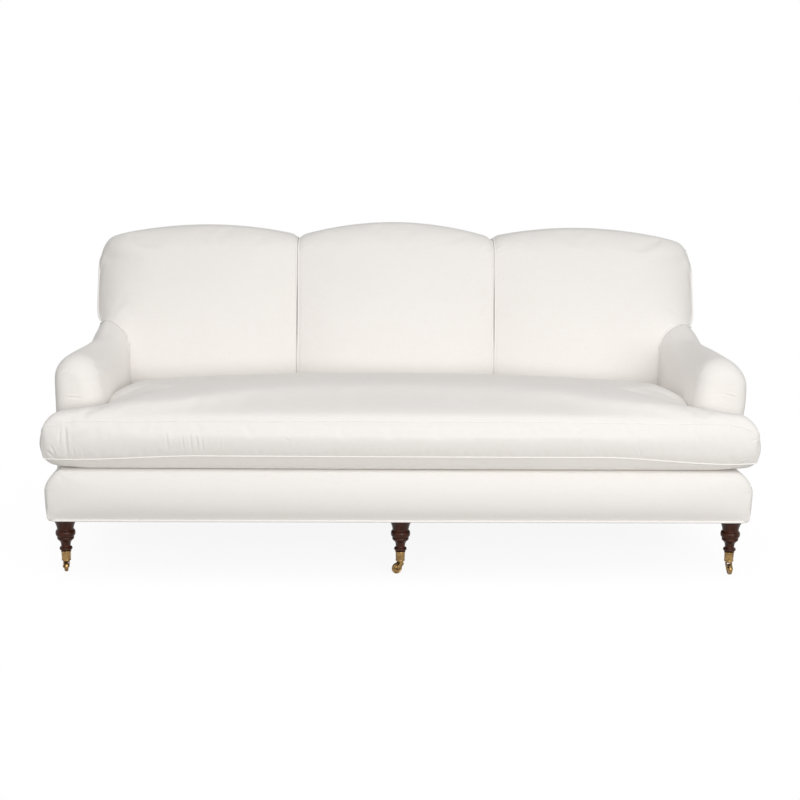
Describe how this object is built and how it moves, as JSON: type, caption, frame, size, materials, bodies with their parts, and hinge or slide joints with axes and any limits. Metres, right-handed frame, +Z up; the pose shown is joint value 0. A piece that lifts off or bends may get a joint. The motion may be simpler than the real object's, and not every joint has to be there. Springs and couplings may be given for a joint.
{
  "type": "english roll arm sofa",
  "caption": "Long low sofa with rolled arms, a tight back of arched lobes, one loose T-shaped seat cushion and turned legs on brass casters.",
  "frame": {"origin": "middle of the sofa's footprint, on the floor", "axes": "+Z up, +X along the sofa's length, the seat faces -Y"},
  "size_m": [1.952, 0.91, 0.92],
  "materials": {
    "linen": "ivory plain-weave linen cotton cloth, matt, with self piping",
    "frame_timber": "plain sawn beech",
    "walnut_leg": "dark walnut stain under gloss lacquer",
    "caster_brass": "aged brass, half polished",
    "spring_steel": "drawn wire",
    "webbing": "woven jute webbing",
    "dust_cloth": "black cambric"
  },
  "bodies": {
    "frame": {"front_rail": "frame_timber", "rear_rail": "frame_timber", "side_rail_left": "frame_timber", "side_rail_right": "frame_timber", "centre_cross_rail": "frame_timber", "arm_post_left": "frame_timber", "arm_post_right": "frame_timber", "arm_top_rail_left": "frame_timber", "arm_top_rail_right": "frame_timber", "back_post_left": "frame_timber", "back_post_right": "frame_timber", "back_lower_rail": "frame_timber", "back_upright_left": "frame_timber", "back_upright_right": "frame_timber", "back_top_rail": "frame_timber", "seat_webbing": "webbing", "seat_springs_front": "spring_steel", "seat_springs_rear": "spring_steel", "back_webbing": "webbing", "seat_deck": "linen", "front_border": "linen", "arm_upholstery_left": "linen", "arm_upholstery_right": "linen", "back_pad_left": "linen", "back_pad_centre": "linen", "back_pad_right": "linen", "outside_back_panel": "linen", "dust_cover": "dust_cloth", "leg_front_left": "walnut_leg", "caster_cup_front_left": "caster_brass", "leg_front_centre": "walnut_leg", "caster_cup_front_centre": "caster_brass", "leg_front_right": "walnut_leg", "caster_cup_front_right": "caster_brass", "leg_rear_left": "walnut_leg", "caster_cup_rear_left": "caster_brass", "leg_rear_centre": "walnut_leg", "caster_cup_rear_centre": "caster_brass", "leg_rear_right": "walnut_leg", "caster_cup_rear_right": "caster_brass"},
    "seat_cushion": {"seat_cushion": "linen"},
    "caster_horn_front_left": {"caster_horn_front_left": "caster_brass"},
    "caster_wheel_front_left": {"caster_wheel_front_left": "caster_brass"},
    "caster_horn_front_centre": {"caster_horn_front_centre": "caster_brass"},
    "caster_wheel_front_centre": {"caster_wheel_front_centre": "caster_brass"},
    "caster_horn_front_right": {"caster_horn_front_right": "caster_brass"},
    "caster_wheel_front_right": {"caster_wheel_front_right": "caster_brass"},
    "caster_horn_rear_left": {"caster_horn_rear_left": "caster_brass"},
    "caster_wheel_rear_left": {"caster_wheel_rear_left": "caster_brass"},
    "caster_horn_rear_centre": {"caster_horn_rear_centre": "caster_brass"},
    "caster_wheel_rear_centre": {"caster_wheel_rear_centre": "caster_brass"},
    "caster_horn_rear_right": {"caster_horn_rear_right": "caster_brass"},
    "caster_wheel_rear_right": {"caster_wheel_rear_right": "caster_brass"}
  },
  "joints": [
    {"name": "seat_cushion_lift", "type": "slide", "parent": "frame", "child": "seat_cushion", "axis": [0, 0, 1], "range_m": [0, 0.35]},
    {"name": "caster_swivel_front_left", "type": "hinge", "parent": "frame", "child": "caster_horn_front_left", "pos_m": [-0.92, -0.37802, 0.037], "axis": [0, 0, 1], "continuous": true},
    {"name": "wheel_roll_front_left", "type": "hinge", "parent": "caster_horn_front_left", "child": "caster_wheel_front_left", "pos_m": [-0.9234, -0.36756, 0.0155], "axis": [-0.9511, -0.309, 0], "continuous": true},
    {"name": "caster_swivel_front_centre", "type": "hinge", "parent": "frame", "child": "caster_horn_front_centre", "pos_m": [0, -0.37802, 0.037], "axis": [0, 0, 1], "continuous": true},
    {"name": "wheel_roll_front_centre", "type": "hinge", "parent": "caster_horn_front_centre", "child": "caster_wheel_front_centre", "pos_m": [-0.00933, -0.38385, 0.0155], "axis": [0.5299, -0.848, 0], "continuous": true},
    {"name": "caster_swivel_front_right", "type": "hinge", "parent": "frame", "child": "caster_horn_front_right", "pos_m": [0.92, -0.37802, 0.037], "axis": [0, 0, 1], "continuous": true},
    {"name": "wheel_roll_front_right", "type": "hinge", "parent": "caster_horn_front_right", "child": "caster_wheel_front_right", "pos_m": [0.92038, -0.38901, 0.0155], "axis": [0.9994, 0.0349, 0], "continuous": true},
    {"name": "caster_swivel_rear_left", "type": "hinge", "parent": "frame", "child": "caster_horn_rear_left", "pos_m": [-0.92, 0.30798, 0.037], "axis": [0, 0, 1], "continuous": true},
    {"name": "wheel_roll_rear_left", "type": "hinge", "parent": "caster_horn_rear_left", "child": "caster_wheel_rear_left", "pos_m": [-0.91715, 0.3186, 0.0155], "axis": [-0.9659, 0.2588, 0], "continuous": true},
    {"name": "caster_swivel_rear_centre", "type": "hinge", "parent": "frame", "child": "caster_horn_rear_centre", "pos_m": [0, 0.30798, 0.037], "axis": [0, 0, 1], "continuous": true},
    {"name": "wheel_roll_rear_centre", "type": "hinge", "parent": "caster_horn_rear_centre", "child": "caster_wheel_rear_centre", "pos_m": [-0.0055, 0.3175, 0.0155], "axis": [-0.866, -0.5, 0], "continuous": true},
    {"name": "caster_swivel_rear_right", "type": "hinge", "parent": "frame", "child": "caster_horn_rear_right", "pos_m": [0.92, 0.30798, 0.037], "axis": [0, 0, 1], "continuous": true},
    {"name": "wheel_roll_rear_right", "type": "hinge", "parent": "caster_horn_rear_right", "child": "caster_wheel_rear_right", "pos_m": [0.9255, 0.3175, 0.0155], "axis": [-0.866, 0.5, 0], "continuous": true}
  ]
}
